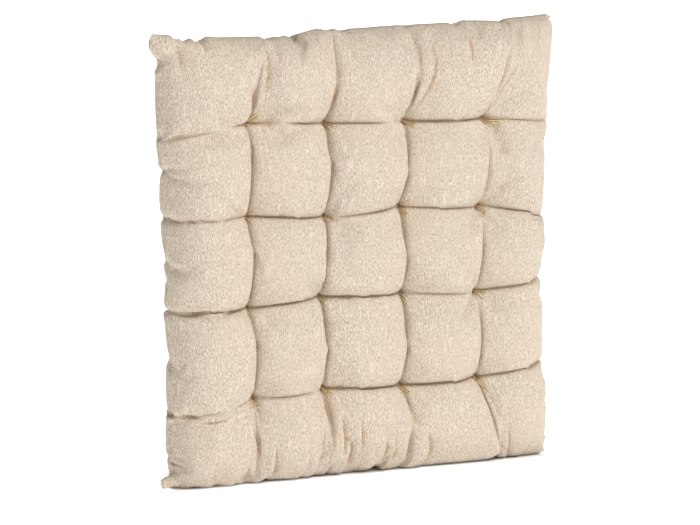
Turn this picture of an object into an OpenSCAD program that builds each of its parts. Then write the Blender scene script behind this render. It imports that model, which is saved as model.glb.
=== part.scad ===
/* [Pad] */
// Finished width of the pad, from seam to seam
pad_w = 400; // [380:5:440]
// Finished height of the pad as it stands on its lower edge
pad_h = 400; // [380:5:440]
// Half of the thickness at the crown of a cell
crown = 26; // [23:1:31]
// How far the side and upper edges pull in midway between the corners
pull_in = 6; // [0:1:12]
// Half of the depth of the edge that the pad stands on, at the middle of a cell
rest_half = 15; // [12:1:18]

/* [Tufting] */
// Distance between neighbouring tufts
pitch = 82; // [78:1:86]
// Half of the thickness where a tuft pulls the covers together
tuft_half = 5; // [4:0.5:7]
// Half of the thickness halfway between two tufts
saddle = 18; // [14:1:21]
// Length of the stitch that a tuft shows on each face
stitch_len = 12; // [8:0.5:14]
// Thickness of the tufting yarn
yarn_d = 1.6; // [1.2:0.1:2]
// Clearance between the yarn and the needle holes
needle_gap = 0.15; // [0.1:0.05:0.3]

/* [Fabric and filling] */
// Thickness of the cover fabric
fabric_t = 1.2; // [0.8:0.1:1.6]
// Half of the thickness of the sewn lip all round
lip_half = 2; // [1.5:0.1:3]
// Width of the sewn lip
lip_w = 4; // [3:0.5:5]
// How far the filling stays inside the seam
fill_inset = 12; // [8:1:16]
// Thickness of the sewing thread
thread_d = 0.8; // [0.5:0.1:1]
// Length of the opening that is closed by hand after filling
closing_len = 140; // [100:10:180]
// Number of hand stitches that close it
closing_stitches = 15; // [8:1:24]

/* [Hidden] */
rows = 4;
cols = 4;
// How far each tuft is sewn off the even grid, right and up, by row from the top
tuft_off = [
    [[0, 4], [-1, 2], [-1, 1], [0, 1]],
    [[1, 2], [0, -2], [-5, 4], [-1, 1]],
    [[4, 1], [-4, 8], [-1, 6], [-2, 3]],
    [[11, 0], [1, 5], [0, 2], [0, 4]]
];
// Direction of each tuft's stitch, in degrees from the horizontal
tuft_turn = [
    [50, -25, -20, 3],
    [60, -30, 48, -45],
    [-40, -42, -62, -40],
    [-60, -55, -38, -55]
];
tuft_names = [for (r = [1:rows], c = [1:cols]) str("tuft_", r, "_", c)];

front = -1;
back = 1;
linen = [0.9, 0.84, 0.76];
yarn = [0.82, 0.67, 0.42];
batting = [0.96, 0.95, 0.92];
sewing = [0.93, 0.89, 0.82];

edge_x = (pad_w - (cols - 1) * pitch) / 2;
edge_z = (pad_h - (rows - 1) * pitch) / 2;
// Where the grid lines lie across one cell, from one line of tufts to the next
cover_cuts = [0, 0.09, 0.28, 0.5, 0.72, 0.91];
fill_cuts = [0, 0.09, 0.5, 0.91];
// The outermost cells swell from the seam, so they need lines close to it
edge_cuts = [0.05, 0.14, 0.28, 0.5, 0.72, 0.91];
fill_edge_cuts = [0.28, 0.5, 0.91];
// Curve of a cell's flank: below 1 it is steep beside the crease and flat on the crown
flank = 0.7;
// How far below the tuft's floor the creases would meet, which leaves a small floor there
floor_drop = 9;
// Where the swelling begins to turn down to the seam, as a share of the outermost cell
turn_start = 0.3;
// How far the back's cells would rise past the crown if the seat under them didn't flatten them
crown_flat = 5;
filling_gap = 0.8;
core_share = 0.45;

// Grid lines, counted in cells: 0 and 5 are the seams, 1 to 4 the lines of tufts
function lines(first, edge, inner, n) = concat(
    [first], [for (e = edge) if (e > first) e],
    [for (k = [1:n - 1], f = inner) k + f],
    [n], [for (i = [len(edge) - 1:-1:0]) if (edge[i] > first) n + 1 - edge[i]], [n + 1 - first]);

// Distance along an even grid for a position counted in cells
function along(u, n, edge) =
    u < 1 ? -(n - 1) / 2 * pitch - (1 - u) * edge :
    u > n ? (n - 1) / 2 * pitch + (u - n) * edge : (u - (n + 1) / 2) * pitch;

// A tuft's offset at a crossing of the grid; the seams have none
function off_at(i, j) = i < 1 || i > cols || j < 1 || j > rows ? [0, 0] : tuft_off[rows - j][i - 1];

function off(u, v) =
    let (i = floor(u), j = floor(v), a = u - i, b = v - j)
    (1 - b) * ((1 - a) * off_at(i, j) + a * off_at(i + 1, j))
    + b * ((1 - a) * off_at(i, j + 1) + a * off_at(i + 1, j + 1));

function share(s, half) = max(-1, min(1, s / half));

// Place of a grid point on the pad: the lower edge stays straight, the others pull in
function place(u, v) =
    let (x = along(u, cols, edge_x), z = along(v, rows, edge_z), o = off(u, v),
         sx = share(x, pad_w / 2), sz = share(z, pad_h / 2))
    [x + o[0] - pull_in * pow(sx, 3) * (1 - sz * sz),
     pad_h / 2 + z + o[1] - pull_in * pow(max(0, sz), 3) * (1 - sx * sx)];

// 0 on a line of tufts, 1 halfway between two lines and beyond the last one
function swell(u, n) =
    let (near = max(1, min(n, round(u))), d = abs(u - near))
    pow(sin(90 * min(1, d / 0.5)), flank);

// 1 over the pad, falling to 0 at the seam
function turn_down(u, n) =
    let (t = u < 1 ? 1 - u : u > n ? u - n : 0, s = max(0, t - turn_start) / (1 - turn_start))
    sqrt(max(0, 1 - s * s));

// The lower edge keeps part of its depth, so that the pad can stand on it
function bottom_turn(v) = v < 1 ?
    let (keep = rest_half / crown, s = max(0, 1 - v - turn_start) / (1 - turn_start))
    keep + (1 - keep) * sqrt(max(0, 1 - s * s)) : 1;

function top_turn(v) = v > 1 ? turn_down(v, rows) : 1;

// Half thickness of the pad at a grid point; pressed is how far its crowns are flattened
function half(u, v, pressed) =
    let (a = swell(u, cols), b = swell(v, rows), low = tuft_half - floor_drop,
         h = low + (saddle - low) * (a + b - a * b) + (crown + pressed - saddle) * a * b)
    lip_half + (min(crown, max(tuft_half, h)) - lip_half)
        * turn_down(u, cols) * top_turn(v) * bottom_turn(v);

// Quads between the points of a grid, cut into triangles; flip turns them inside out
function sheet_faces(nu, nv, start, flip) = [
    for (i = [0:nu - 2], j = [0:nv - 2])
        let (a = start + i * nv + j, b = a + nv, c = b + 1, d = a + 1)
        each (flip ? [[a, c, b], [a, d, c]] : [[a, b, c], [a, c, d]])];

// Indices of the points round the rim of a grid
function rim(nu, nv, start) = concat(
    [for (i = [0:nu - 1]) start + i * nv],
    [for (j = [1:nv - 1]) start + (nu - 1) * nv + j],
    [for (i = [nu - 2:-1:0]) start + i * nv + nv - 1],
    [for (j = [nv - 2:-1:1]) start + j]);

// A band of triangles between two rims of the same length
function band(r, s, flip) = [
    for (k = [0:len(r) - 1])
        let (a = r[k], b = r[(k + 1) % len(r)], c = s[(k + 1) % len(s)], d = s[k])
        each (flip ? [[a, c, b], [a, d, c]] : [[a, b, c], [a, c, d]])];

// A fabric panel: outer skin, inner skin, and a flat lip on the plane of the seam
module panel(side) {
    us = lines(0, edge_cuts, cover_cuts, cols);
    vs = lines(0, edge_cuts, cover_cuts, rows);
    nu = len(us);
    nv = len(vs);
    pressed = side == back ? crown_flat : 0;
    outer = [for (u = us, v = vs) let (p = place(u, v)) [p[0], side * half(u, v, pressed), p[1]]];
    inner = [for (i = [0:nu - 1], j = [0:nv - 1])
        let (on_rim = i == 0 || i == nu - 1 || j == 0 || j == nv - 1,
             p = place(us[i], vs[j]),
             x = max(-pad_w / 2 + lip_w + pull_in, min(pad_w / 2 - lip_w - pull_in, p[0])),
             z = max(lip_w, min(pad_h - lip_w - pull_in, p[1])))
        on_rim ? [x, 0, z] : [x, side * max(0.2, half(us[i], vs[j], pressed) - fabric_t), z]];
    outer_rim = rim(nu, nv, 0);
    seam = [for (k = outer_rim) [outer[k][0], 0, outer[k][2]]];
    n = nu * nv;
    seam_rim = [for (k = [0:len(seam) - 1]) 2 * n + k];
    inner_rim = rim(nu, nv, n);
    flip = side == back;
    polyhedron(concat(outer, inner, seam), concat(
        sheet_faces(nu, nv, 0, flip), sheet_faces(nu, nv, n, !flip),
        band(seam_rim, outer_rim, flip), band(inner_rim, seam_rim, flip)), convexity = 8);
}

// A layer of filling between two shares of the space inside the covers
module layer(low, low_gap, high, high_gap) {
    first = fill_inset / edge_x;
    us = lines(first, fill_edge_cuts, fill_cuts, cols);
    vs = lines(first, fill_edge_cuts, fill_cuts, rows);
    nu = len(us);
    nv = len(vs);
    function skin(part, gap) = [for (u = us, v = vs)
        let (p = place(u, v), h = half(u, v, 0) - fabric_t - filling_gap)
        [p[0], part * h + gap, p[1]]];
    low_skin = skin(low, low_gap);
    high_skin = skin(high, high_gap);
    n = nu * nv;
    polyhedron(concat(low_skin, high_skin), concat(
        sheet_faces(nu, nv, 0, false), sheet_faces(nu, nv, n, true),
        band(rim(nu, nv, n), rim(nu, nv, 0), false)), convexity = 8);
}

function tuft_at(r, c) = place(c, rows + 1 - r);

// Holes for both legs of every tuft
module needle_holes() {
    for (r = [1:rows], c = [1:cols])
        translate([tuft_at(r, c)[0], 0, tuft_at(r, c)[1]])
            rotate([0, -tuft_turn[r - 1][c - 1], 0])
                for (s = [-1, 1])
                    translate([s * (stitch_len - yarn_d) / 2, 0, 0])
                        rotate([90, 0, 0])
                            cylinder(h = 4 * crown, d = yarn_d + 2 * needle_gap, center = true, $fn = 24);
}

module cover_front() {
    color(linen) difference() {
        panel(front);
        needle_holes();
    }
}

module cover_back() {
    color(linen) difference() {
        panel(back);
        needle_holes();
    }
}

module wadding_front() {
    color(batting) difference() {
        layer(-1, 0, -core_share, -0.2);
        needle_holes();
    }
}

module fibre_core() {
    color(batting) difference() {
        layer(-core_share, 0, core_share, 0);
        needle_holes();
    }
}

module wadding_back() {
    color(batting) difference() {
        layer(core_share, 0.2, 1, 0);
        needle_holes();
    }
}

// Yarn that crosses the pad twice, with a stitch on each face
module tuft(r, c) {
    reach = tuft_half + yarn_d / 2;
    color(yarn)
        translate([tuft_at(r, c)[0], 0, tuft_at(r, c)[1]])
            rotate([0, -tuft_turn[r - 1][c - 1], 0]) {
                for (s = [-1, 1])
                    translate([s * (stitch_len - yarn_d) / 2, 0, 0])
                        rotate([90, 0, 0])
                            cylinder(h = 2 * reach, d = yarn_d, center = true, $fn = 24);
                for (side = [front, back])
                    translate([0, side * reach, 0])
                        rotate([0, 90, 0])
                            cylinder(h = stitch_len, d = yarn_d, center = true, $fn = 24);
            }
}

// The machine seam, a thread that runs round the inside of the lip
module edge_seam_thread() {
    lo_x = -pad_w / 2 + lip_w + pull_in + thread_d / 2;
    hi_x = -lo_x;
    lo_z = lip_w + thread_d / 2;
    hi_z = pad_h - lip_w - pull_in - thread_d / 2;
    color(sewing) {
        for (z = [lo_z, hi_z])
            translate([0, 0, z])
                rotate([0, 90, 0])
                    cylinder(h = hi_x - lo_x, d = thread_d, center = true, $fn = 16);
        for (x = [lo_x, hi_x])
            translate([x, 0, lo_z])
                cylinder(h = hi_z - lo_z, d = thread_d, $fn = 16);
    }
}

// Hand stitches across the lip at the middle of the right edge
module closing_seam_thread() {
    step = closing_len / (closing_stitches - 1);
    color(sewing)
        for (k = [0:closing_stitches - 1])
            translate([pad_w / 2 - pull_in + thread_d / 2,
                       0, pad_h / 2 - closing_len / 2 + k * step])
                rotate([90, 0, 0])
                    cylinder(h = 2 * lip_half, d = thread_d, center = true, $fn = 16);
}

cover_front();
cover_back();
wadding_front();
fibre_core();
wadding_back();
edge_seam_thread();
closing_seam_thread();
for (r = [1:rows], c = [1:cols])
    tuft(r, c);
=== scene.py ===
import math

import bpy
import numpy as np
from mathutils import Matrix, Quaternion, Vector
from mathutils.bvhtree import BVHTree


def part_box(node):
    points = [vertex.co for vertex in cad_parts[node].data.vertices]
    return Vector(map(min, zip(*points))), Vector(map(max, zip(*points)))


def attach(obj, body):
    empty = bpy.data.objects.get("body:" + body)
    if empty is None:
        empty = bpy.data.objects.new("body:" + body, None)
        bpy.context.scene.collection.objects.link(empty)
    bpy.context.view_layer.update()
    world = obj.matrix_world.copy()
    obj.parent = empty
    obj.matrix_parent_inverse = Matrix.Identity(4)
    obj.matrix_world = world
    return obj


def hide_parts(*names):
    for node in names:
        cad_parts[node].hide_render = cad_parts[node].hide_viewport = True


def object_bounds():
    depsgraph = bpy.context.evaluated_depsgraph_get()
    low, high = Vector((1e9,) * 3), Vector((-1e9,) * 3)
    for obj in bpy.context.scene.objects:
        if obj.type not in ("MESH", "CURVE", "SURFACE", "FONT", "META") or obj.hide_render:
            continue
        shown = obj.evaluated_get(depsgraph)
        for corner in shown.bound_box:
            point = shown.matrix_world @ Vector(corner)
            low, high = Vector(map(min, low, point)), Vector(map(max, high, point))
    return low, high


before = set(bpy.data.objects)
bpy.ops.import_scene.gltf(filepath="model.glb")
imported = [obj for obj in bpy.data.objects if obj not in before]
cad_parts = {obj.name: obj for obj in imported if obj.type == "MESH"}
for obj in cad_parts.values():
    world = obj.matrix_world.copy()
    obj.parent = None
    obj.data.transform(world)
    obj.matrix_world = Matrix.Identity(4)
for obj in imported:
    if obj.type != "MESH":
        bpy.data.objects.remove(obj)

# ---- the frame's sizes, in metres

cad_low, cad_high = [Vector(corner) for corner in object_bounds()]
WIDTH = cad_high.x - cad_low.x
HEIGHT = cad_high.z - cad_low.z
MID_X = (cad_low.x + cad_high.x) / 2
MM = 0.001

ROWS, COLS = 4, 4
CELLS = 5
FRONT, BACK = -1, 1

# ---- cloth

FINE = 21                 # grid squares across one cell
CELL_MM = 80.0            # width of a cell, in mm
TUFT_HALF = 4.5 * MM      # half thickness of the pad at a tuft
TUFT_DROP = 4 * MM        # how far below that the creases would meet without the tuft's floor
SADDLE = 16.5 * MM        # half thickness halfway between two tufts
CROWN = 25.5 * MM         # half thickness at the middle of a cell, before it swells
PULL_IN = 4 * MM          # how far the sides pull in midway between the corners
SEAM_BACK = 7 * MM        # how far behind the pad's middle plane the side seams lie
FLANK = 0.4               # below 1 a cell is steep beside its creases
TURN_START = 0.3          # where the outermost cells begin to turn down to the seam
FABRIC = 1.1 * MM         # thickness of the cloth
RIM_FABRIC = 0.25 * MM    # the same at the seam, where the panels are stitched

EASE = 1.085              # spare cloth in the middle of the pad
SEAM_EASE = 1.16          # spare cloth along the seam, which gathers into puckers
SEAM_REACH = 0.9          # how far in from the seam that reaches, in cells
SIDE_SEAM = 0.7           # share of those puckers that the upright seams have
CREASE_HOLD = 0.5         # how firmly the cloth between two tufts is held down
CREASE_END = 0.5          # the creases are held up to this many cells from the seam
STITCH_HALF = 5 * MM      # half the length of the stitch at a tuft
STITCH_HOLD = 3.2 * MM    # the cloth is held flat this close to a tuft's stitch
START_NOISE = 0.1 * MM    # unevenness of the cloth before it swells
PRESSURE = 300.0          # of the filling against the cloth
STRETCH = 80              # stiffness of the cloth along its threads
SHEAR = 24                # and across them
CLOTH_GAP = 1 * MM        # kept between the cloth and the floor
SELF_GAP = 1.2 * MM       # kept between two layers of the cloth
SIM_FRAMES = 30
SEED = 11

# ---- camera


def aimed(azimuth, elevation, distance, target):
    """Place and turn of something that looks at target from that side; azimuth 0 looks along +Y."""
    a, e = math.radians(azimuth), math.radians(elevation)
    away = Vector((math.sin(a) * math.cos(e), -math.cos(a) * math.cos(e), math.sin(e)))
    return target + away * distance, away.to_track_quat("Z", "Y").to_euler()


CAMERA_AZIMUTH = -28.4    # degrees, as are the next two
CAMERA_ELEVATION = 8.4
CAMERA_ROLL = 1.17
CAMERA_DISTANCE = 2.73
CAMERA_TARGET = Vector((-0.0073, 0, 0.1936))
CAMERA_LENS = 154         # mm, on a sensor 36 mm wide


def new_object(name, data):
    made = bpy.data.objects.new(name, data)
    bpy.context.scene.collection.objects.link(made)
    return made


def make_camera():
    data = bpy.data.cameras.new("camera")
    data.lens = CAMERA_LENS
    data.sensor_width = 36
    camera = new_object("camera", data)
    place, turn = aimed(CAMERA_AZIMUTH, CAMERA_ELEVATION, CAMERA_DISTANCE, CAMERA_TARGET)
    roll = Quaternion((0, 0, 1), math.radians(CAMERA_ROLL))
    camera.location = place
    camera.rotation_euler = (turn.to_quaternion() @ roll).to_euler()
    bpy.context.scene.camera = camera


make_camera()

# ---- where the tufts are


def tuft_name(row, col):
    return f"tuft_{row}_{col}"


def tuft_place(row, col):
    """Middle of a tuft, and the direction of its stitch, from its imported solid."""
    low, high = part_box(tuft_name(row, col))
    middle = Vector((low[0] + high[0], 0, low[2] + high[2])) / 2
    points = [v.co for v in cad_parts[tuft_name(row, col)].data.vertices]
    far = max(points, key=lambda p: math.hypot(p.x - middle.x, p.z - middle.z))
    along = Vector((far.x - middle.x, 0, far.z - middle.z)).normalized()
    return middle, (along if along.x > 0 else -along)


# How deep the crease is between each two tufts, or from an outer tuft to the seam, out of 1:
# along the rows of tufts from the top one down, each from left to right
ROW_CREASES = ((0.3, 0.85, 0.65, 1, 0.45), (0.12, 1, 0.7, 0.7, 0.9),
               (0.8, 1, 1, 0.65, 0.9), (0.4, 0.6, 1, 1, 0.9))
# down the columns of tufts from the left one on, each from top to bottom
COLUMN_CREASES = ((0.4, 1, 1, 1, 0.35), (0.85, 1, 1, 1, 0.35),
                  (0.75, 1, 1, 1, 0.25), (0.5, 0.85, 0.9, 0.9, 0.6))

# Where the creases meet the seams, in mm from straight on: along the top and bottom seams
# from left to right, and up the left and right seams from the lowest row of tufts
TOP_SHIFT = (8, 6, 4, 22)
BOTTOM_SHIFT = (6, 5, 8, 24)
LEFT_SHIFT = (-14, -5, -2, -10)
RIGHT_SHIFT = (11, 7, -11, -4)

TUFTS = {(r, c): tuft_place(r, c) for r in range(1, ROWS + 1) for c in range(1, COLS + 1)}


def lattice():
    """Places of the crossings of the crease lines; the first and last lines are the seams."""
    knots = np.zeros((CELLS + 1, CELLS + 1, 2))
    mean_x = [np.mean([TUFTS[r, c][0].x for r in range(1, ROWS + 1)]) for c in range(1, COLS + 1)]
    mean_z = [np.mean([TUFTS[r, c][0].z for c in range(1, COLS + 1)]) for r in range(ROWS, 0, -1)]
    xs = [cad_low.x, *mean_x, cad_high.x]
    zs = [cad_low.z, *mean_z, cad_high.z]
    for i in range(CELLS + 1):
        for j in range(CELLS + 1):
            inside = 1 <= i <= COLS and 1 <= j <= ROWS
            middle = TUFTS[ROWS + 1 - j, i][0] if inside else None
            knots[i, j] = (middle.x, middle.z) if inside else (xs[i], zs[j])
    knots[1:-1, -1, 0] += np.array(TOP_SHIFT) * MM
    knots[1:-1, 0, 0] += np.array(BOTTOM_SHIFT) * MM
    knots[0, 1:-1, 1] += np.array(LEFT_SHIFT) * MM
    knots[-1, 1:-1, 1] += np.array(RIGHT_SHIFT) * MM
    return knots


KNOTS = lattice()

# ---- the pad's starting shape


def grid():
    """Grid positions counted in cells: 0 and 5 are the seams, 1 to 4 the lines of tufts."""
    line = np.arange(CELLS * FINE + 1) / FINE
    return np.meshgrid(line, line, indexing="ij")


def on_lattice(u, v):
    """Places on the pad's plane, evenly spread between the lattice's crossings."""
    i, j = np.minimum(u.astype(int), CELLS - 1), np.minimum(v.astype(int), CELLS - 1)
    a, b = (u - i)[..., None], (v - j)[..., None]
    return ((1 - a) * (1 - b) * KNOTS[i, j] + a * (1 - b) * KNOTS[i + 1, j]
            + (1 - a) * b * KNOTS[i, j + 1] + a * b * KNOTS[i + 1, j + 1])


def swell(u):
    """0 on a line of tufts, 1 halfway between two lines and beyond the last one."""
    near = np.clip(np.round(u), 1, CELLS - 1)
    return np.sin(np.pi / 2 * np.minimum(1, np.abs(u - near) / 0.5)) ** FLANK


def turn_down(u):
    """1 over the pad, falling to 0 at the seams."""
    past = np.maximum(0, np.maximum(1 - u, u - (CELLS - 1)))
    s = np.maximum(0, past - TURN_START) / (1 - TURN_START)
    return np.sqrt(np.maximum(0, 1 - s * s))


def nearest_line(u):
    return np.clip(np.round(u), 1, CELLS - 1).astype(int)


def crease_depths(u, v):
    """Depth, out of 1, of the row crease and of the column crease nearest to each point."""
    column, row = np.minimum(u.astype(int), CELLS - 1), np.minimum(v.astype(int), CELLS - 1)
    along_row = np.array(ROW_CREASES)[ROWS - nearest_line(v), column]
    along_column = np.array(COLUMN_CREASES)[nearest_line(u) - 1, CELLS - 1 - row]
    return along_row, along_column


def starting_shape(u, v):
    """Points of the front and back panels' grids before the cloth swells."""
    flat = on_lattice(u, v)
    x, z = flat[..., 0], flat[..., 1]
    sx = (x - MID_X) / (WIDTH / 2)
    sz = (z - cad_low.z) / HEIGHT * 2 - 1
    a, b = swell(u), swell(v)
    low = TUFT_HALF - TUFT_DROP
    row_depth, column_depth = crease_depths(u, v)
    row_saddle = CROWN - (CROWN - SADDLE) * row_depth
    column_saddle = CROWN - (CROWN - SADDLE) * column_depth
    half = (low + (row_saddle - low) * a * (1 - b) + (column_saddle - low) * b * (1 - a)
            + (CROWN - low) * a * b)
    half = np.maximum(TUFT_HALF, half) * turn_down(u) * turn_down(v)
    x = x - PULL_IN * sx ** 3 * (1 - sz * sz)
    back = SEAM_BACK * np.clip(1 - np.minimum(u, CELLS - u), 0, 1) ** 2 * (1 - sz ** 4)
    return np.stack([x, back - half, z], -1), np.stack([x, back + half, z], -1)


U, V = grid()
SIDE = len(U)
TO_SEAM = np.minimum(np.minimum(U, CELLS - U), np.minimum(V, CELLS - V))
INNER = np.zeros((SIDE, SIDE), bool)
INNER[1:-1, 1:-1] = True

# The two panels share the points of the seam
FRONT_INDEX = np.arange(SIDE * SIDE).reshape(SIDE, SIDE)
BACK_INDEX = FRONT_INDEX.copy()
BACK_INDEX[INNER] = SIDE * SIDE + np.arange(INNER.sum())


def grid_quads(index, flip=False):
    q = np.stack([index[:-1, :-1], index[1:, :-1], index[1:, 1:], index[:-1, 1:]], -1)
    q = q.reshape(-1, 4)
    return q[:, ::-1] if flip else q


def both_panels(values):
    """Values on the front grid, followed by those of the back's own points."""
    return np.concatenate([values.reshape(-1, *values.shape[2:]), values[INNER]])


def new_mesh(name, points, faces):
    mesh = bpy.data.meshes.new(name)
    mesh.from_pydata(np.asarray(points).tolist(), [], [list(map(int, f)) for f in faces])
    mesh.update()
    return mesh


def stitch_distance(x, z):
    """How far each point is from the nearest tuft's stitch."""
    best = np.full(x.shape, 1.0)
    for middle, along in TUFTS.values():
        dx, dz = x - middle.x, z - middle.z
        t = np.clip(dx * along.x + dz * along.z, -STITCH_HALF, STITCH_HALF)
        best = np.minimum(best, np.hypot(dx - t * along.x, dz - t * along.z))
    return best


def hold_weights(start):
    """1 where a tuft holds the cloth, less along the creases between tufts, else 0."""
    row_depth, column_depth = crease_depths(U, V)
    on_row = np.isin(V, np.arange(1, CELLS)) & (TO_SEAM > CREASE_END)
    on_column = np.isin(U, np.arange(1, CELLS)) & (TO_SEAM > CREASE_END)
    weights = CREASE_HOLD * np.maximum(row_depth ** 2 * on_row, column_depth ** 2 * on_column)
    weights[stitch_distance(start[..., 0], start[..., 2]) < STITCH_HOLD] = 1
    return weights


def put(thing, **values):
    """Sets several properties of one thing."""
    for name, value in values.items():
        setattr(thing, name, value)


def weight_group(piece, name, values):
    group = piece.vertex_groups.new(name=name)
    rounded = np.round(values, 2)
    for value in np.unique(rounded[rounded > 0]):
        group.add([int(k) for k in np.nonzero(rounded == value)[0]], float(value), "REPLACE")


def simulate(front, back):
    """Swells the sewn cloth with Blender's Cloth and returns the front and back grids."""
    points = np.concatenate([front.reshape(-1, 3), back[INNER]])
    rng = np.random.default_rng(SEED)
    points[:, 1] += rng.normal(0, START_NOISE, len(points))
    faces = np.concatenate([grid_quads(FRONT_INDEX), grid_quads(BACK_INDEX, flip=True)])
    pad = new_object("pad_cloth", new_mesh("pad_cloth", points, faces))
    weight_group(pad, "held", both_panels(hold_weights(front)))
    level = np.clip(1 - np.minimum(V, CELLS - V) / SEAM_REACH, 0, 1)
    upright = np.clip(1 - np.minimum(U, CELLS - U) / SEAM_REACH, 0, 1) * SIDE_SEAM
    weight_group(pad, "seam", both_panels(np.maximum(level, upright)))

    floor = new_object("press", new_mesh("press", [(-1, -1, 0), (1, -1, 0), (1, 1, 0), (-1, 1, 0)],
                                         [(0, 1, 2, 3)]))
    floor.modifiers.new("collision", "COLLISION")
    floor.collision.thickness_outer = CLOTH_GAP

    cloth = pad.modifiers.new("cloth", "CLOTH")
    put(cloth.settings, quality=5, mass=0.001, air_damping=1, tension_stiffness=STRETCH,
        compression_stiffness=STRETCH, shear_stiffness=SHEAR, bending_stiffness=0.02,
        tension_damping=1, compression_damping=1, shear_damping=1, use_pressure=True,
        uniform_pressure_force=PRESSURE, vertex_group_mass="held", vertex_group_shrink="seam",
        shrink_min=1 - EASE, shrink_max=1 - SEAM_EASE)
    cloth.settings.effector_weights.gravity = 0
    put(cloth.collision_settings, use_collision=True, distance_min=CLOTH_GAP,
        use_self_collision=True, self_distance_min=SELF_GAP, self_friction=1)
    cloth.point_cache.frame_end = SIM_FRAMES
    for step in range(1, SIM_FRAMES + 1):
        bpy.context.scene.frame_set(step)
    shown = pad.evaluated_get(bpy.context.evaluated_depsgraph_get()).data
    flat = np.empty(len(shown.vertices) * 3)
    shown.vertices.foreach_get("co", flat)
    moved = flat.reshape(-1, 3)
    bpy.data.objects.remove(pad)
    bpy.data.objects.remove(floor)
    bpy.context.scene.frame_set(1)
    return moved[FRONT_INDEX], moved[BACK_INDEX]


front_grid, back_grid = starting_shape(U, V)
front_grid, back_grid = simulate(front_grid, back_grid)

# ---- how the pad stands

# Where the seams end up, in mm from the CAD box's sides, outwards: the top and bottom seams
# from left to right, the left and right seams from bottom to top
TOP_LINE = (3, 0, 6, 9, 14, 17)
BOTTOM_LINE = (2, 2, 2, 2, 2, 2)
LEFT_LINE = (-13, -14, -11, -7, -1, 6)
RIGHT_LINE = (7, 1, -4, -5, -5, -1)
LINE_REACH = 1.0          # how far in from a seam its move is felt, in cells
LINE_ROUNDS = 60          # rounds of averaging that leave a seam's general line


def fade(distance, reach):
    """1 at distance 0, easing to 0 at the reach."""
    t = np.clip(1 - distance / reach, 0, 1)
    return t * t * (3 - 2 * t)


def averaged(values, rounds):
    """Values along a line, each averaged with its two neighbours; the ends stay."""
    for _ in range(rounds):
        values = np.concatenate([values[:1], (values[:-2] + 2 * values[1:-1] + values[2:]) / 4,
                                 values[-1:]])
    return values


def seam_move(seam, line, base, out):
    """How far each point of a seam moves so that its general line is the one given."""
    along = np.arange(SIDE) / FINE
    wanted = base + out * MM * np.interp(along, np.arange(CELLS + 1), line)
    return averaged(wanted, LINE_ROUNDS) - averaged(seam, LINE_ROUNDS)


def settle(points, seams):
    """Moves a panel's outer cells so that the seams run where they should."""
    left, right, bottom, top = seams
    points = points.copy()
    points[..., 0] += left[None, :] * fade(U, LINE_REACH)
    points[..., 0] += right[None, :] * fade(CELLS - U, LINE_REACH)
    points[..., 2] += bottom[:, None] * fade(V, LINE_REACH)
    points[..., 2] += top[:, None] * fade(CELLS - V, LINE_REACH)
    return points


SEAM_MOVES = (seam_move(front_grid[0, :, 0], LEFT_LINE, cad_low.x, -1),
              seam_move(front_grid[-1, :, 0], RIGHT_LINE, cad_high.x, 1),
              seam_move(front_grid[:, 0, 2], BOTTOM_LINE, cad_low.z, -1),
              seam_move(front_grid[:, -1, 2], TOP_LINE, cad_high.z, 1))
front_grid, back_grid = settle(front_grid, SEAM_MOVES), settle(back_grid, SEAM_MOVES)

# Small pulls of the cloth: place in cells, reach in cells, and move to the right and up in mm
NUDGES = ((0, 4.92, 0.11, -7, 0), (0, 5, 0.06, 1, 2), (0, 4.74, 0.05, 6, 0),
          (0, 4.66, 0.04, -2, 0), (0.12, 5, 0.1, 0, 2),
          (0.20, 5, 0.03, 0, -3), (0.28, 5, 0.04, 0, -4), (0.42, 5, 0.05, 0, -6),
          (0.50, 5, 0.05, 0, 1),
          (0, 4.05, 0.06, 2, 0), (0, 3.02, 0.07, 4, 0), (0, 2, 0.07, 4, 0),
          (0, 1.9, 0.06, -2, 0), (0, 1.02, 0.05, 2, 0), (0, 0.92, 0.05, -2, 0),
          (0, 0.84, 0.04, 1, 0), (0, 0, 0.1, -7, 2), (0, 0.11, 0.07, -6, 2),
          (0, 0.24, 0.05, 3, 0),
          (5, 4.78, 0.05, -3, 0), (5, 4.88, 0.05, 2, 0), (5, 4.62, 0.05, -2, 0),
          (5, 4.4, 0.05, -2, 0), (5, 4, 0.07, -4, 0), (5, 2.8, 0.05, -3, 0),
          (5, 2, 0.06, -4, 0), (5, 1.2, 0.05, -3, 0), (5, 0.98, 0.05, -2, 0),
          (5, 0.45, 0.05, -2, 0), (5, 0.18, 0.06, 3, 0),
          (1.15, 5, 0.06, 0, -3), (2, 5, 0.06, 0, -3), (3, 5, 0.06, 0, -3),
          (3.5, 5, 0.04, 0, -4), (3.58, 5, 0.04, 0, 1))


def nudge(points, u, v):
    points = points.copy()
    for at_u, at_v, reach, right, up in NUDGES:
        pull = np.exp(-((u - at_u) ** 2 + (v - at_v) ** 2) / reach ** 2)
        points[..., 0] += pull * right * MM
        points[..., 2] += pull * up * MM
    return points


def finer(points):
    """The grid with twice as many squares each way, smoothed as a subdivision surface is."""
    for axis in (0, 1):
        p = np.moveaxis(points, axis, 0)
        made = np.empty((2 * len(p) - 1, *p.shape[1:]))
        made[1::2] = (p[:-1] + p[1:]) / 2
        made[2:-2:2] = (p[:-2] + 6 * p[1:-1] + p[2:]) / 8
        made[0], made[-1] = p[0], p[-1]
        points = np.moveaxis(made, 0, axis)
    return points


FINE_U, FINE_V = np.meshgrid(*[np.arange(2 * SIDE - 1) / (2 * FINE)] * 2, indexing="ij")
FINE_TO_SEAM = np.minimum(np.minimum(FINE_U, CELLS - FINE_U), np.minimum(FINE_V, CELLS - FINE_V))

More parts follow.
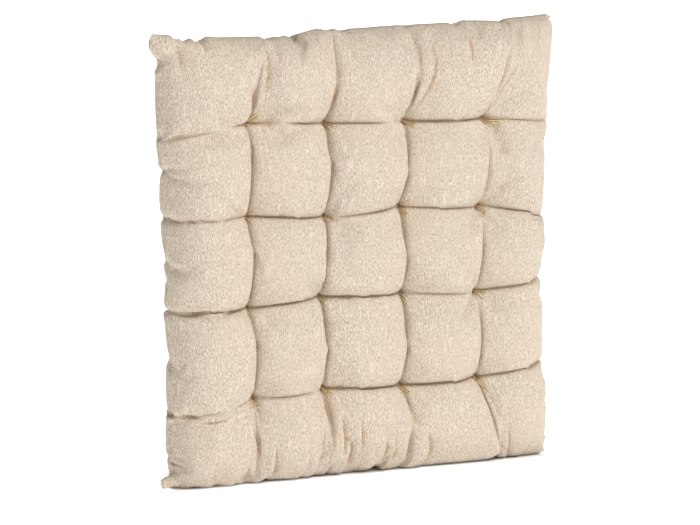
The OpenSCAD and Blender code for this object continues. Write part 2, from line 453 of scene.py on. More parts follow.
# Folds on the front, which lap from their left side to their right: the two ends and how far
# the line bows to its left, in cells, then the depth and half width in mm
FOLDS = ((1.12, 4.22, 0.93, 4.96, -0.07, 5.5, 2.8), (1.02, 4.12, 0.9, 4.38, 0, 4.2, 2.2),
         (1.95, 4.05, 2.05, 4.66, -0.03, 2.6, 2.4), (2.24, 4.58, 2.17, 4.9, 0, 2.3, 2),
         (2.9, 4.07, 3.02, 4.92, -0.1, 5.5, 2.6), (3.05, 4.12, 3.17, 4.86, -0.11, 5.5, 2.6),
         (3.6, 4.55, 3.52, 4.96, -0.01, 4.4, 2.4), (3.76, 4.68, 3.64, 4.88, 0, 1.4, 2.2),
         (4.03, 4.05, 4.2, 4.55, 0.03, 3.1, 3.4), (4.52, 3.93, 4.83, 3.98, 0, 1.4, 2.2),
         (0.19, 4.66, 0.18, 4.97, 0, 3.1, 1.3), (0.43, 4.84, 0.4, 4.97, 0, 4.4, 1.3),
         (0, 4.75, 0.1, 4.83, 0, 5.2, 2.2), (0.06, 4.01, 0.27, 4.06, 0.02, 3.6, 1.3),
         (0.33, 3.93, 0.86, 4, -0.02, 1, 1.3), (0.24, 3.14, 0.64, 3.14, -0.02, 0.8, 2.2),
         (0.6, 3.24, 0.86, 3.08, 0, 2.3, 1.3), (0.04, 1.98, 0.38, 2.05, -0.05, 3.8, 1.6),
         (0.29, 1.9, 0.86, 2.03, -0.02, 3.4, 1.3), (0.05, 1.04, 0.31, 0.93, 0.03, 3.2, 1.7),
         (0.24, 0.9, 0.69, 0.93, -0.03, 3.1, 1.3), (1.06, 0.72, 1.02, 0.98, -0.01, 4.4, 1.3),
         (1.02, 0.42, 0.92, 0.7, 0, 3.2, 1.1), (1.26, 0.12, 1.24, 0.5, 0.01, 4.9, 2),
         (0.88, 0.08, 0.88, 0.35, 0, 3.8, 2), (0.64, 0.66, 0.76, 0.84, 0, 1.2, 2.8),
         (2.02, 0.64, 1.98, 0.92, 0.02, 2.9, 2.4), (1.83, 0.15, 1.88, 0.66, 0.02, 4.5, 2.7),
         (2.17, 0.3, 2.16, 0.7, 0, 7.1, 2), (2.2, 0.06, 2.24, 0.46, 0, 6.8, 2.2),
         (2.33, 0.28, 2.36, 0.72, -0.01, 4.2, 1.9), (2.67, 0.08, 2.64, 0.52, 0.01, 5.2, 1.9),
         (2.81, 0.18, 2.76, 0.64, 0.02, 3.8, 2.2), (3.06, 0.66, 2.93, 0.9, -0.03, 3.6, 1.3),
         (3.2, 0.08, 3.19, 0.5, -0.04, 5.7, 1.9), (4.13, 0.5, 4.02, 0.98, -0.02, 3.1, 1.3),
         (3.95, 0.12, 4.12, 0.48, -0.05, 3.3, 2.4), (4.2, 0.08, 4.21, 0.46, 0, 4.5, 1.9),
         (2.55, 3.03, 2.9, 3.03, 0, 0.7, 2), (3.3, 2.7, 3.7, 2.7, 0, 0.5, 2),
         (3.15, 2.08, 3.75, 2.1, 0.02, 1.2, 2), (1.97, 3.3, 1.95, 3.75, 0, 0.8, 2.4),
         (2.14, 2.3, 2.1, 2.75, -0.05, 1.4, 2.4), (4.16, 3.3, 4.1, 3.8, -0.03, 0.8, 2.4),
         (4.14, 2.4, 3.9, 2.8, -0.08, 0.8, 2.4))
LAP = 4.0                 # how wide a fold's right side is, in half widths
STEEP = 0.8               # how wide its left side is
RIDGE = 0.35              # height of the ridge on its left, as a share of the fold's depth
RIDGE_REACH = 1.6         # how far from the fold's line that ridge is, in half widths
FOLD_TIP = 0.12           # how far into its taper a fold begins, as a share of its length
FOLD_EDGE = 0.08          # the folds flatten out this close to the seam, in cells

PUCKERS = 26              # little gathers along each of the top and bottom seams of a panel
SIDE_PUCKERS = 14         # and along each of its two sides
PUCKER_LENGTH = (0.15, 0.55)   # the least and the most, in cells
PUCKER_DEPTH = (0.6, 1.6)      # in mm
PUCKER_WIDTH = (2.0, 3.6)      # half widths in mm
PUCKER_START = 0.03       # how far from the seam a gather begins, in cells
LOW_PUCKERS = 1.6         # how much deeper those of the bottom seam are
FLAT_PUCKERS = 0.6        # and how much shallower those of the sides


def fold_line(u, v, fold):
    """How far each point is from one fold's bowed line, in mm, whether it is on the line's left,
    and how much of the fold's depth there is beside it."""
    u0, v0, u1, v1, bow = fold[:5]
    length = math.hypot(u1 - u0, v1 - v0)
    along_u, along_v = (u1 - u0) / length, (v1 - v0) / length
    t = ((u - u0) * along_u + (v - v0) * along_v) / length
    inside = np.clip(t, 0, 1)
    off = (v - v0) * along_u - (u - u0) * along_v - 4 * bow * inside * (1 - inside)
    distance = np.hypot(off, (t - inside) * length) * CELL_MM
    taper = np.sin(np.pi * (FOLD_TIP + (1 - 2 * FOLD_TIP) * inside))
    return distance, off > 0, taper


def fold_depth(u, v, fold):
    """How deep one fold is at each point, in metres: a valley whose left side stands up steeply
    and whose right side rises gently, as a lapped fold of cloth does."""
    distance, left, taper = fold_line(u, v, fold)
    distance = distance / fold[6]
    valley = np.exp(-distance / np.where(left, STEEP, LAP))
    from_line = distance / RIDGE_REACH
    ridge = RIDGE * np.where(left, from_line * np.exp(1 - from_line), 0)
    return fold[5] * MM * taper * (valley - ridge)


def seam_gathers(seed):
    """Short folds that run in from the seams, at random places, as rows like those of FOLDS."""
    rng = np.random.default_rng(seed)
    made = []
    for k in range(2 * PUCKERS + 2 * SIDE_PUCKERS):
        level = k < 2 * PUCKERS
        at, slant = rng.uniform(0.15, 4.85), rng.normal(0, 0.05)
        low = level and k % 2 == 1
        length, depth = rng.uniform(*PUCKER_LENGTH), rng.uniform(*PUCKER_DEPTH)
        depth *= LOW_PUCKERS if low else 1.0 if level else FLAT_PUCKERS
        near, far = PUCKER_START, length
        if k % 2 == 0:
            near, far = CELLS - near, CELLS - far
        ends = (at, near, at + slant, far) if level else (near, at, far, at + slant)
        made.append((*ends, rng.normal(0, 0.02), depth, rng.uniform(*PUCKER_WIDTH)))
    return made


SQUEEZE = 0.5             # share by which a crease is narrower than the simulation leaves it
SQUEEZE_REACH = 9.5       # how far from the crease's line that is felt, in mm


def tightened(points):
    """Draws the cloth beside each crease closer to the crease's line, along the face."""
    for axis in (0, 1):
        p = np.moveaxis(points.copy(), axis, 0)
        for crossing in range(1, CELLS):
            line = 2 * FINE * crossing
            away = np.abs(np.arange(len(p)) - line) * CELL_MM / (2 * FINE)
            pull = SQUEEZE * np.exp(-(away / SQUEEZE_REACH) ** 2)
            p += pull[:, None, None] * (p[line] - p) * np.array([1, 0, 1])
        points = np.moveaxis(p, 0, axis)
    return points


FOLD_SHARE = 0.3          # no fold is deeper than this share of the pad's thickness there
ROOM = np.linalg.norm(finer(back_grid - front_grid), axis=-1) + 0.1 * MM


def folded(points, side, folds):
    """The panel with its folds pressed in."""
    depth = sum(fold_depth(FINE_U, FINE_V, fold) for fold in folds)
    depth *= np.clip(FINE_TO_SEAM / FOLD_EDGE, 0, 1)
    most = FOLD_SHARE * ROOM
    depth = most * np.tanh(depth / most)
    return points - outward(points, side) * depth[..., None]


def outward(points, side):
    """Unit normals of a panel's grid, pointing out of the pad."""
    normal = np.cross(np.gradient(points, axis=0), np.gradient(points, axis=1))
    normal /= np.linalg.norm(normal, axis=-1, keepdims=True) + 1e-12
    return normal if side == FRONT else -normal


PIT = 1.8 * MM            # how deep the yarn sinks into the cloth
PIT_WIDTH = 2.5 * MM      # and how far around the stitch that is felt
MOST_HALF = 36.5 * MM     # the pad is nowhere thicker than twice this
EASE_SHARE = 0.15         # the last share of that is where the fullest places are eased back


def pitted(points, side):
    """The panel drawn in at each tuft by its yarn."""
    near = stitch_distance(points[..., 0], points[..., 2])
    points = points.copy()
    points[..., 1] -= side * PIT * np.exp(-(near / PIT_WIDTH) ** 2)
    return points


def held_in(points):
    """Eases the fullest places back, and keeps everything on or above the floor."""
    points = points.copy()
    y = points[..., 1]
    free = (1 - EASE_SHARE) * MOST_HALF
    over = np.abs(y) - free
    eased = free + (MOST_HALF - free) * np.tanh(over / (MOST_HALF - free))
    points[..., 1] = np.where(over > 0, np.sign(y) * eased, y)
    points[..., 2] = np.maximum(points[..., 2], 0)
    return points


def dressed(points, side, folds):
    """The panel's finer grid, with its creases, pulls, folds and tufts worked in."""
    smooth = nudge(tightened(finer(points)), FINE_U, FINE_V)
    return held_in(pitted(folded(smooth, side, folds), side))


FRONT_FOLDS = FOLDS + tuple(seam_gathers(SEED))
BACK_FOLDS = tuple(seam_gathers(SEED + 1))
front_cloth = dressed(front_grid, FRONT, FRONT_FOLDS)
back_cloth = dressed(back_grid, BACK, BACK_FOLDS)

# ---- materials


def material(name):
    made = bpy.data.materials.new(name)
    made.use_nodes = True
    return made, made.node_tree


def node(tree, kind, **settings):
    made = tree.nodes.new(kind)
    put(made, **settings)
    return made


def give(made, **values):
    """Sets a node's inputs; their names have underscores for spaces."""
    for name, value in values.items():
        made.inputs[name.replace("_", " ")].default_value = value


def link(tree, source, target):
    tree.links.new(source, target)


def maths(tree, operation, a, b=None, c=None):
    made = node(tree, "ShaderNodeMath", operation=operation)
    for slot, value in enumerate((a, b, c)):
        if value is None:
            continue
        if isinstance(value, (int, float)):
            made.inputs[slot].default_value = value
        else:
            link(tree, value, made.inputs[slot])
    return made.outputs[0]


def weighted(tree, a, share_a, b, share_b):
    return maths(tree, "ADD", maths(tree, "MULTIPLY", a, share_a),
                 maths(tree, "MULTIPLY", b, share_b))


def mixed(tree, factor, first, second, blend="MIX"):
    """A colour mix; each colour is a socket or an RGB tuple."""
    made = node(tree, "ShaderNodeMix", data_type="RGBA", blend_type=blend)
    for slot, value in ((0, factor), (6, first), (7, second)):
        if isinstance(value, (int, float)):
            made.inputs[slot].default_value = value
        elif isinstance(value, tuple):
            made.inputs[slot].default_value = (*value, 1)
        else:
            link(tree, value, made.inputs[slot])
    return made.outputs[2]


def stretched_noise(tree, vector, scale, detail=2, roughness=0.5):
    """Noise whose grain is 1/scale long in each direction of the vector."""
    mapping = node(tree, "ShaderNodeMapping")
    give(mapping, Scale=scale)
    link(tree, vector, mapping.inputs["Vector"])
    noise = node(tree, "ShaderNodeTexNoise")
    give(noise, Scale=1, Detail=detail, Roughness=roughness)
    link(tree, mapping.outputs[0], noise.inputs["Vector"])
    return noise.outputs["Fac"]


def ramp(tree, value, low, high, low_out=0, high_out=1, kind="LINEAR"):
    """The value as it goes from low to high, turned into one from low_out to high_out."""
    made = node(tree, "ShaderNodeMapRange", clamp=True, interpolation_type=kind)
    link(tree, value, made.inputs["Value"])
    give(made, From_Min=low, From_Max=high, To_Min=low_out, To_Max=high_out)
    return made.outputs["Result"]


def roughen(tree, shader, height, strength, distance):
    """Bump from a height."""
    bump = node(tree, "ShaderNodeBump")
    give(bump, Strength=strength, Distance=distance)
    link(tree, height, bump.inputs["Height"])
    link(tree, bump.outputs[0], shader.inputs["Normal"])


CREASE_SHADE_LAYER = "fold"       # how much painted crease shade each point of the cloth has
CLOTH_MAP = "cloth_mm"    # UV map of the cut cloth, 500 mm to one unit
MAP_MM = 500.0

WOVEN = 1.05              # crossings of threads to the mm
BAND_SCALE = 0.33         # of the wave texture whose bands are the threads
HUSK_SCALE = 0.055        # specks to the mm, before most are left out

DARK_LINEN, LIGHT_LINEN = (0.355, 0.288, 0.217), (0.755, 0.667, 0.572)
SLUB_LINEN = (0.86, 0.77, 0.655)
MOTTLE_LINEN = (0.38, 0.30, 0.22)
FADED_LINEN = (0.62, 0.50, 0.38)
GAP_LINEN = (0.40, 0.31, 0.22)
HUSK, COLOURED_FIBRE = (0.16, 0.10, 0.06), (0.55, 0.20, 0.13)
# painted shade: the cloth's colour is multiplied by this down in its creases and along its folds
PAINTED_CREASE_SHADE = (0.66, 0.485, 0.30)


def cloth_mm(tree):
    """Place on the cut cloth, in mm."""
    uv = node(tree, "ShaderNodeUVMap", uv_map=CLOTH_MAP)
    scale = node(tree, "ShaderNodeMapping")
    give(scale, Scale=(MAP_MM, MAP_MM, MAP_MM))
    link(tree, uv.outputs[0], scale.inputs["Vector"])
    return scale.outputs[0]


def thread_bands(tree, mm, axis):
    """Slightly uneven parallel threads."""
    wave = node(tree, "ShaderNodeTexWave", wave_type="BANDS", bands_direction=axis,
                wave_profile="SIN")
    give(wave, Scale=BAND_SCALE, Distortion=0.6, Detail=1, Detail_Scale=0.3)
    link(tree, mm, wave.inputs["Vector"])
    return wave.outputs["Fac"]


def plain_weave(tree, mm):
    """Threads that pass over and under each other."""
    checker = node(tree, "ShaderNodeTexChecker")
    give(checker, Scale=WOVEN)
    link(tree, mm, checker.inputs["Vector"])
    return mixed(tree, checker.outputs["Fac"], thread_bands(tree, mm, "X"),
                 thread_bands(tree, mm, "Y"))


def pushed_about(tree, vector, scale, share):
    """The vector moved a little by coloured noise."""
    noise = node(tree, "ShaderNodeTexNoise")
    give(noise, Scale=scale)
    link(tree, vector, noise.inputs["Vector"])
    return mixed(tree, share, vector, noise.outputs["Color"])


def with_husks(tree, mm, base):
    """The colour with a few specks of husk and coloured fibre in it."""
    speck = node(tree, "ShaderNodeTexVoronoi", feature="F1")
    give(speck, Scale=HUSK_SCALE, Randomness=1)
    link(tree, pushed_about(tree, mm, 0.9, 0.06), speck.inputs["Vector"])
    near = ramp(tree, speck.outputs["Distance"], 0.045, 0.03)
    chosen = node(tree, "ShaderNodeSeparateColor")
    link(tree, speck.outputs["Color"], chosen.inputs[0])
    few = ramp(tree, chosen.outputs[0], 0.90, 0.91)
    husk = mixed(tree, ramp(tree, chosen.outputs[1], 0.6, 0.61), HUSK, COLOURED_FIBRE)
    share = maths(tree, "MULTIPLY", maths(tree, "MULTIPLY", near, few), 0.75)
    return mixed(tree, share, base, husk)


def with_painted_crease_shade(tree, colour):
    """The colour made darker and warmer down in the creases and folds: painted shade."""
    fold = node(tree, "ShaderNodeAttribute", attribute_name=CREASE_SHADE_LAYER)
    shaded_colour = mixed(tree, 1, colour, PAINTED_CREASE_SHADE, "MULTIPLY")
    return mixed(tree, ramp(tree, fold.outputs["Fac"], 0.15, 1, 0, 0.85), colour, shaded_colour)


def linen():
    """Natural linen, in which each thread has its own tone and thickness along its length."""
    made, tree = material("linen")
    shader = tree.nodes["Principled BSDF"]
    mm = cloth_mm(tree)
    warp = stretched_noise(tree, mm, (2, 0.35, 1), 1)
    weft = stretched_noise(tree, mm, (0.8, 1.9, 1), 1)
    slub = stretched_noise(tree, mm, (1.1, 0.06, 1), 1)
    mottle = stretched_noise(tree, mm, (1.5, 0.4, 1), 1)
    broad = stretched_noise(tree, mm, (0.012, 0.012, 1))
    over = plain_weave(tree, mm)

    tone = weighted(tree, warp, 0.55, weft, 0.45)
    base = mixed(tree, ramp(tree, tone, 0.41, 0.59), DARK_LINEN, LIGHT_LINEN)
    base = mixed(tree, ramp(tree, slub, 0.50, 0.68, 0, 0.5), base, SLUB_LINEN)
    base = mixed(tree, ramp(tree, mottle, 0.47, 0.36, 0, 0.7), base, MOTTLE_LINEN)
    base = mixed(tree, ramp(tree, broad, 0.35, 0.65, 0, 0.22), base, FADED_LINEN)
    base = mixed(tree, ramp(tree, over, 0, 0.5, 0.35, 0), base, GAP_LINEN)
    # painted shade, darker and warmer, in the creases and along the folds
    colour = with_painted_crease_shade(tree, with_husks(tree, mm, base))
    link(tree, colour, shader.inputs["Base Color"])

    link(tree, ramp(tree, mottle, 0.3, 0.7, 0.82, 0.98), shader.inputs["Roughness"])
    give(shader, Specular_IOR_Level=0.25, Sheen_Weight=0.22, Sheen_Roughness=0.45,
         Sheen_Tint=(1, 0.95, 0.88, 1))

    height = weighted(tree, over, 0.5, maths(tree, "ADD", warp, slub), 0.9)
    roughen(tree, shader, height, 0.45, 0.35 * MM)
    return made


def fibre(name, dark, light, grain, rough=(0.5, 0.75)):
    """Spun or loose fibre of two tones, with that many grains to the metre and a little sheen."""
    made, tree = material(name)
    shader = tree.nodes["Principled BSDF"]
    place = node(tree, "ShaderNodeTexCoord")
    streak = stretched_noise(tree, place.outputs["Object"], (grain,) * 3, 3, 0.6)
    fine = stretched_noise(tree, place.outputs["Object"], (2.7 * grain,) * 3, 2, 0.6)
    tone = weighted(tree, streak, 0.6, fine, 0.4)
    link(tree, mixed(tree, ramp(tree, tone, 0.36, 0.64), dark, light), shader.inputs["Base Color"])
    link(tree, ramp(tree, fine, 0.3, 0.7, *rough), shader.inputs["Roughness"])
    give(shader, Sheen_Weight=0.2, Sheen_Roughness=0.35)
    roughen(tree, shader, tone, 0.5, 0.15 * MM)
    return made


LINEN = linen()
YARN = fibre("tuft_yarn", (0.36, 0.20, 0.07), (1.0, 0.84, 0.50), 600, (0.3, 0.5))
THREAD = fibre("sewing_thread", (0.50, 0.41, 0.30), (0.74, 0.65, 0.52), 1500)
BATTING = fibre("batting", (0.80, 0.79, 0.76), (0.95, 0.94, 0.92), 220)

# ---- shells and tubes


def rim_index(index):
    """The points round the edge of a grid, in order."""
    return np.concatenate([index[:, 0], index[-1, 1:], index[-2::-1, -1], index[0, -2:0:-1]])


def shell(name, outer, inner, side, uv=None, fold=None):
    """A closed shell between two grids of points."""
    count = outer.shape[0] * outer.shape[1]
    top = np.arange(count).reshape(outer.shape[:2])
    under = top + count
    a, b = rim_index(top), rim_index(under)
    a2, b2 = np.roll(a, -1), np.roll(b, -1)
    band = np.stack([a, b, b2, a2], -1)
    flip = side == BACK
    faces = np.concatenate([grid_quads(top, flip), grid_quads(under, not flip),
                            band[:, ::-1] if flip else band])
    mesh = new_mesh(name, np.concatenate([outer.reshape(-1, 3), inner.reshape(-1, 3)]), faces)
    if uv is not None:
        both = np.concatenate([uv.reshape(-1, 2)] * 2)
        layer = mesh.uv_layers.new(name=CLOTH_MAP)
        corners = np.empty(len(mesh.loops), int)
        mesh.loops.foreach_get("vertex_index", corners)
        layer.data.foreach_set("uv", both[corners].ravel())
    if fold is not None:
        layer = mesh.attributes.new(CREASE_SHADE_LAYER, "FLOAT", "POINT")
        layer.data.foreach_set("value", np.concatenate([fold.ravel()] * 2))
    mesh.polygons.foreach_set("use_smooth", [True] * len(mesh.polygons))
    return new_object(name, mesh)


def tube_points(path, radius, sides):
    """Rings of points round a path, and the quads and end caps that close it."""
    path = np.asarray(path, float)
    tangent = np.gradient(path, axis=0)
    tangent /= np.linalg.norm(tangent, axis=1, keepdims=True) + 1e-12
    normal = np.cross(tangent[0], [0.31, 0.87, 0.38])
    angle = np.arange(sides) * 2 * np.pi / sides
    rings = []
    for p, t in zip(path, tangent):
        normal = normal - t * normal.dot(t)
        normal /= np.linalg.norm(normal)
        ring = np.outer(np.cos(angle), normal) + np.outer(np.sin(angle), np.cross(t, normal))
        rings.append(p + radius * ring)
    points = np.concatenate(rings)
    faces = []
    for k in range(len(path) - 1):
        for s in range(sides):
            a, b = k * sides + s, k * sides + (s + 1) % sides
            faces.append((a, b, b + sides, a + sides))
    faces.append(tuple(range(sides - 1, -1, -1)))
    faces.append(tuple(range((len(path) - 1) * sides, len(path) * sides)))
    return points, faces


def tubes(name, paths, radius, sides=8):
    """One object of several separate round threads."""
    points, faces, start_at = [], [], 0
    for path in paths:
        p, f = tube_points(path, radius, sides)
        points.append(p)
        faces += [tuple(k + start_at for k in face) for face in f]
        start_at += len(p)
    mesh = new_mesh(name, np.concatenate(points), faces)
    mesh.polygons.foreach_set("use_smooth", [True] * len(mesh.polygons))
    return new_object(name, mesh)


def finish_piece(piece, surface, slot, *nodes):
    piece.data.materials.append(surface)
    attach(piece, "root")
    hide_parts(*nodes)


# ---- covers

CLOTH_SPREAD = 1.1        # size of a cell of cloth laid flat, against a cell of the pad
CLOTH_UV = (np.stack([FINE_U, FINE_V], -1) - CELLS / 2) * CELL_MM * CLOTH_SPREAD / MAP_MM + 0.5
SEAM_TAPER = 0.12         # the cloth thins to the seam over this many cells


def smoothed(values, rounds):
    """Values on the grid, each averaged with its neighbours."""
    for _ in range(rounds):
        values = averaged(averaged(values, 1).swapaxes(0, 1), 1).swapaxes(0, 1)
    return values


CREASE_ROUNDS = 8         # rounds of averaging that level a crease out
FULL_CREASE = 3 * MM      # this far below that level the cloth has its full painted crease shade
SHADE_EDGE = 0.15         # the painted shade fades out this close to the seam, in cells
SHADE_WIDTH = 1.5         # mm to each side of a fold's line that has painted shade too
LINE_SHADE = 0.42         # how much of the painted shade the line of a fold has
FULL_FOLD = 4             # depth in mm of a fold that has all of that


def fold_shade(points, folds):
    """How much painted crease shade each point has, out of 1."""
    depth = np.abs(points[..., 1])
    # painted shade where the cloth lies below its smoothed level, and along each fold's line
    crease = np.clip((smoothed(depth, CREASE_ROUNDS) - depth) / FULL_CREASE, 0, 1)
    crease *= np.clip(FINE_TO_SEAM / SHADE_EDGE, 0, 1)
    lines = 0
    for fold in folds:
        distance, _, taper = fold_line(FINE_U, FINE_V, fold)
        share = min(1, fold[5] / FULL_FOLD)
        lines = lines + taper * share * np.exp(-(distance / SHADE_WIDTH) ** 2)
    return np.clip(crease + LINE_SHADE * np.clip(lines, 0, 1), 0, 1)


def cover(name, points, side, folds):
    """One panel of the cover."""
    share = np.clip(FINE_TO_SEAM / SEAM_TAPER, 0, 1)
    thickness = RIM_FABRIC + (FABRIC - RIM_FABRIC) * share
    inner = points - smoothed(outward(points, side), 2) * thickness[..., None]
    inner[..., 2] = np.maximum(inner[..., 2], RIM_FABRIC)
    panel = shell(name, points, inner, side, CLOTH_UV, fold_shade(points, folds))
    finish_piece(panel, LINEN, "linen", name)


cover("cover_front", front_cloth, FRONT, FRONT_FOLDS)
cover("cover_back", back_cloth, BACK, BACK_FOLDS)

# ---- filling

FILL_STEP = 3             # the filling takes every third line of the cloth's grid
FILL_EDGE = 3             # and stays this many lines inside the seam
FILL_REACH = 4            # it is no thicker than the pad is anywhere this many lines away
FILL_GAP = 2.5 * MM       # between the filling and the cloth
LEAST_FILL = 1 * MM       # half the thickness of the filling at a tuft
WADDING = 0.27            # share of the filling's thickness that each outer layer has
LAYER_GAP = 0.01          # share that is left free between two layers


def fill_grid(points, side):
    """A simpler surface inside a panel, which touches the cloth nowhere."""
    depth = np.abs(points[..., 1])
    for _ in range(FILL_REACH):
        depth[1:-1] = np.minimum(np.minimum(depth[:-2], depth[2:]), depth[1:-1])
        depth[:, 1:-1] = np.minimum(np.minimum(depth[:, :-2], depth[:, 2:]), depth[:, 1:-1])
    inside = smoothed(points, 4)
    inside[..., 1] = side * np.maximum(depth - FILL_GAP, LEAST_FILL)
    cut = slice(FILL_EDGE, SIDE - FILL_EDGE, FILL_STEP)
    return inside[cut, cut]


fill_front, fill_back = fill_grid(front_grid, FRONT), fill_grid(back_grid, BACK)


def layer_of_filling(name, start, end):
    """The filling between two shares of the way from its front to its back."""
    through = fill_back - fill_front
    piece = shell(name, fill_front + through * start, fill_front + through * end, FRONT)
    finish_piece(piece, BATTING, "batting", name)


CORE_START = WADDING + LAYER_GAP
layer_of_filling("wadding_front", 0, WADDING)
layer_of_filling("fibre_core", CORE_START, 1 - CORE_START)
layer_of_filling("wadding_back", 1 - WADDING, 1)

# ---- seam thread

SEAM_INSET = 5 * MM
SEAM_RADIUS = 0.4 * MM
CLOSING_RADIUS = 0.35 * MM
STITCH_STEP = 4           # lines of the cloth's finer grid between two closing stitches
STITCH_LIFT = 0.3 * MM    # of a closing stitch's ends above the cloth
STITCH_OUT = 0.5 * MM     # of its middle beyond the pad's edge


def make_seam_thread():
    """The machine seam, a little inside the pad's edge all round."""
    path = held_in(nudge(front_grid, U, V)).reshape(-1, 3)[rim_index(FRONT_INDEX)]
    away = (path - [MID_X, 0, HEIGHT / 2]) * [1, 0, 1]
    away /= np.linalg.norm(away, axis=1, keepdims=True)
    loop = path - away * SEAM_INSET
    piece = tubes("edge_seam_thread", [np.concatenate([loop, loop[:1]])], SEAM_RADIUS, 6)
    finish_piece(piece, THREAD, "sewing_thread", "edge_seam_thread")


make_seam_thread()


def closing_stitches():
    """Slanting hand stitches over the middle of the right edge."""
    low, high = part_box("closing_seam_thread")
    front_out, back_out = outward(front_cloth, FRONT), outward(back_cloth, BACK)
    rim, inside = -1, -3
    rows = [j for j in range(len(front_cloth)) if low[2] < front_cloth[rim, j, 2] < high[2]]
    paths = []
    t = np.linspace(0, 1, 9)[:, None]
    for j in rows[::STITCH_STEP]:
        near = front_cloth[inside, j] + front_out[inside, j] * STITCH_LIFT
        far = back_cloth[inside, j + 2] + back_out[inside, j + 2] * STITCH_LIFT
        lip = front_cloth[rim, j + 1] + np.array([STITCH_OUT, 0, 0])
        bend = 2 * lip - (near + far) / 2
        paths.append((1 - t) ** 2 * near + 2 * t * (1 - t) * bend + t ** 2 * far)
    return paths


closing = tubes("closing_seam_thread", closing_stitches(), CLOSING_RADIUS, 8)
finish_piece(closing, THREAD, "sewing_thread", "closing_seam_thread")

# ---- tufts

PLY_RADIUS = 0.37 * MM
TWIST_LENGTH = 4.0 * MM
STRAND_LIFT = 1.2 * MM    # of a strand's middle above the cloth
STRAND_GAP = 2.2 * MM     # between strands that lie side by side
BEHIND = 3 * MM           # how far a strand starts behind the middle of its tuft
PLY_OFFSET = 0.9          # of a ply from its strand's middle, in its own radius
DIVE = 2.4 * MM           # about how far a strand's ends go down into the cloth
DIVE_START = 0.15         # over this share of its length where it comes out
DIVE_END = 0.12           # and over this one where it goes in
THROUGH = 4 * MM          # from a tuft's middle to the yarn that goes through the pad
SAME_WAY = 8              # strands whose directions differ by less lie side by side

# The strands that show at each tuft: length in mm, then their directions in degrees from level
STRANDS = {(1, 1): (12, 50, 50, 51), (1, 2): (8, -18, -60), (1, 3): (9, -4, -20, -38),
           (1, 4): (17, 3, 2, 4), (2, 1): (8, 64, 62, -54), (2, 2): (7, -30, -32),
           (2, 3): (9, 50, -45, -46), (2, 4): (8, -45, -44), (3, 1): (5, -40, -42),
           (3, 2): (8, -42, -41), (3, 3): (9, -62, -60), (3, 4): (9, -5, -58),
           (4, 1): (10, -58, -61, -125), (4, 2): (9, -28, -48, -64),
           (4, 3): (10, -38, -37, -125), (4, 4): (15, -55, -54)}


def surface_tree(points):
    index = np.arange(points.shape[0] * points.shape[1]).reshape(points.shape[:2])
    corners = [Vector(p) for p in points.reshape(-1, 3)]
    return BVHTree.FromPolygons(corners, [tuple(map(int, q)) for q in grid_quads(index)])


TREES = {FRONT: surface_tree(front_cloth), BACK: surface_tree(back_cloth)}


def surface_y(x, z, side):
    hit, *_ = TREES[side].ray_cast(Vector((x, side * 0.2, z)), Vector((0, -side, 0)))
    return hit.y if hit is not None else side * TUFT_HALF


def strand(middle, along, side, reach, shift):
    """A strand of a stitch: out of the cloth near the tuft's middle and in again further on."""
    across = Vector((-along.z, 0, along.x))
    path = []
    for t in np.linspace(0, 1, 25):
        p = middle + along * (t * (reach + BEHIND) - BEHIND) + across * shift * min(1, 3 * t)
        y = surface_y(p.x, p.z, side)
        dive = max(0, DIVE_START - t, t - (1 - DIVE_END)) / DIVE_END
        path.append((p.x, y + side * (STRAND_LIFT - dive ** 2 * DIVE), p.z))
    return averaged(np.array(path), 4)


def plies(path):
    """Two plies twisted round a strand's path."""
    length = np.concatenate([[0], np.cumsum(np.linalg.norm(np.diff(path, axis=0), axis=1))])
    fine = np.linspace(0, length[-1], 56)
    points = np.stack([np.interp(fine, length, path[:, k]) for k in range(3)], -1)
    tangent = np.gradient(points, axis=0)
    tangent /= np.linalg.norm(tangent, axis=1, keepdims=True)
    side_way = np.cross(tangent, [0, 1, 0])
    side_way /= np.linalg.norm(side_way, axis=1, keepdims=True) + 1e-9
    up = np.cross(side_way, tangent)
    angle = fine / TWIST_LENGTH * 2 * np.pi
    wave = np.cos(angle)[:, None] * side_way + np.sin(angle)[:, None] * up
    wave *= PLY_RADIUS * PLY_OFFSET
    return [points + wave, points - wave]


def make_tuft(row, col):
    """A tuft's strands on both faces, and the yarn through the pad between them."""
    middle, along = TUFTS[row, col]
    length, *directions = STRANDS[row, col]
    rng = np.random.default_rng(SEED + 10 * row + col)
    paths = []
    for side in (FRONT, BACK):
        for k, direction in enumerate(directions):
            beside = sum(abs(direction - other) < SAME_WAY for other in directions[:k])
            angle = math.radians(direction + rng.uniform(-2, 2))
            turned = Vector((math.cos(angle), 0, math.sin(angle)))
            reach = length * MM * rng.uniform(0.9, 1.05)
            paths += plies(strand(middle, turned, side, reach, -beside * STRAND_GAP))
    for end in (-THROUGH, THROUGH):
        p = middle + along * end
        ys = np.linspace(surface_y(p.x, p.z, FRONT) + MM, surface_y(p.x, p.z, BACK) - MM, 8)
        paths.append(np.stack([np.full(8, p.x), ys, np.full(8, p.z)], -1))
    piece = tubes(tuft_name(row, col) + "_yarn", paths, PLY_RADIUS, 7)
    finish_piece(piece, YARN, "tuft_yarn", tuft_name(row, col))


for tuft in TUFTS:
    make_tuft(*tuft)

# ---- floor and light

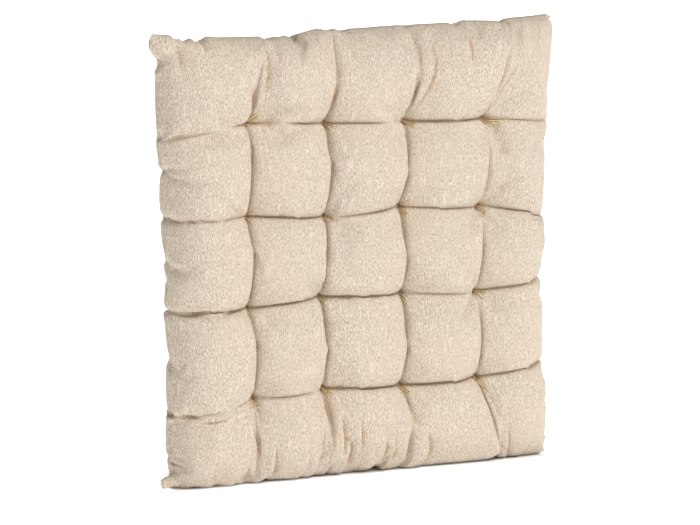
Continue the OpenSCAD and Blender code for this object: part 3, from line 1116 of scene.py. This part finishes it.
# The floor glows with painted light and has a painted shadow round the pad: it has no light of its
# own under the pad, and gains it in three steps further away
NEAR_GLOW = 0.5           # gained within DARK_REACH
SOFT_GLOW = 0.3           # from there to SOFT_REACH
FLOOR_GLOW = 0.2          # and around SOFT_REACH
DARK_REACH = 16 * MM
SOFT_REACH = 60 * MM
QUICK_FALL = 20           # how many times sooner the floor brightens beside and behind the pad
FOOT_FRONT = 10 * MM      # the painted shadow strip under the pad reaches this far in front of its middle plane
FOOT_BACK = 5 * MM        # and this far behind it
FOOT_INSET = 8 * MM       # and ends this far inside the pad's lower corners
FLOOR_HALF = 60           # m

AMBIENT = 0.26            # strength of the world as a source of light
SEEN = 1.05               # and as the background
KEY_SUN = (20, 51, 30, 2.4)   # azimuth, elevation and width in degrees, then power
FILL_SUN = (8, 3, 60, 0.3)


def make_floor():
    """A wide white floor that glows with painted light, so that it stays white in the pad's shade,
    with a painted shadow close to the pad.
    """
    a = FLOOR_HALF
    corners = [(-a, -a, 0), (a, -a, 0), (a, a, 0), (-a, a, 0)]
    floor = new_object("floor", new_mesh("floor", corners, [(0, 1, 2, 3)]))
    surface, tree = material("floor")
    shader = tree.nodes["Principled BSDF"]
    give(shader, Base_Color=(0.8, 0.8, 0.8, 1), Roughness=0.9, Emission_Color=(1, 1, 1, 1))
    place = node(tree, "ShaderNodeSeparateXYZ")
    link(tree, node(tree, "ShaderNodeTexCoord").outputs["Object"], place.inputs[0])
    x, y = place.outputs["X"], place.outputs["Y"]
    foot = front_cloth[:, 0, 0]
    to_left = maths(tree, "SUBTRACT", float(foot.min()) + FOOT_INSET, x)
    to_right = maths(tree, "SUBTRACT", x, float(foot.max()) - FOOT_INSET)
    beside = maths(tree, "MAXIMUM", to_left, to_right)
    behind = maths(tree, "SUBTRACT", y, FOOT_BACK)
    in_front = maths(tree, "SUBTRACT", -FOOT_FRONT, y)
    away = maths(tree, "MULTIPLY", maths(tree, "MAXIMUM", beside, behind), QUICK_FALL)
    away = maths(tree, "MAXIMUM", maths(tree, "MAXIMUM", away, in_front), 0)
    near = ramp(tree, away, 0, DARK_REACH, 0, NEAR_GLOW, "SMOOTHSTEP")
    soft = ramp(tree, away, DARK_REACH, SOFT_REACH, 0, SOFT_GLOW)
    far = ramp(tree, away, SOFT_REACH / 2, 2 * SOFT_REACH, 0, FLOOR_GLOW)
    glow = maths(tree, "ADD", maths(tree, "ADD", near, soft), far)
    # painted light: the floor glows, but not under and close to the pad, which paints the pad's
    # shadow there
    link(tree, glow, shader.inputs["Emission Strength"])
    floor.data.materials.append(surface)


def make_sun(name, azimuth, elevation, angle, power):
    """A soft sun, angle degrees across."""
    data = bpy.data.lights.new(name, "SUN")
    data.angle = math.radians(angle)
    data.energy = power
    lamp = new_object(name, data)
    lamp.location, lamp.rotation_euler = aimed(azimuth, elevation, 2, Vector((0, 0, 0.2)))


def make_world():
    """White behind the pad, and dimmer as a source of light, so that the folds keep their depth."""
    world = bpy.data.worlds.new("studio")
    bpy.context.scene.world = world
    world.use_nodes = True
    tree = world.node_tree
    background = tree.nodes["Background"]
    rays = node(tree, "ShaderNodeLightPath")
    colour = mixed(tree, rays.outputs["Is Camera Ray"], (1, 0.95, 0.88), (1, 1, 1))
    link(tree, colour, background.inputs["Color"])
    strength = maths(tree, "MULTIPLY_ADD", rays.outputs["Is Camera Ray"], SEEN - AMBIENT, AMBIENT)
    link(tree, strength, background.inputs["Strength"])
    bpy.context.scene.view_settings.view_transform = "Standard"


make_floor()
make_world()
make_sun("key", *KEY_SUN)
make_sun("fill", *FILL_SUN)
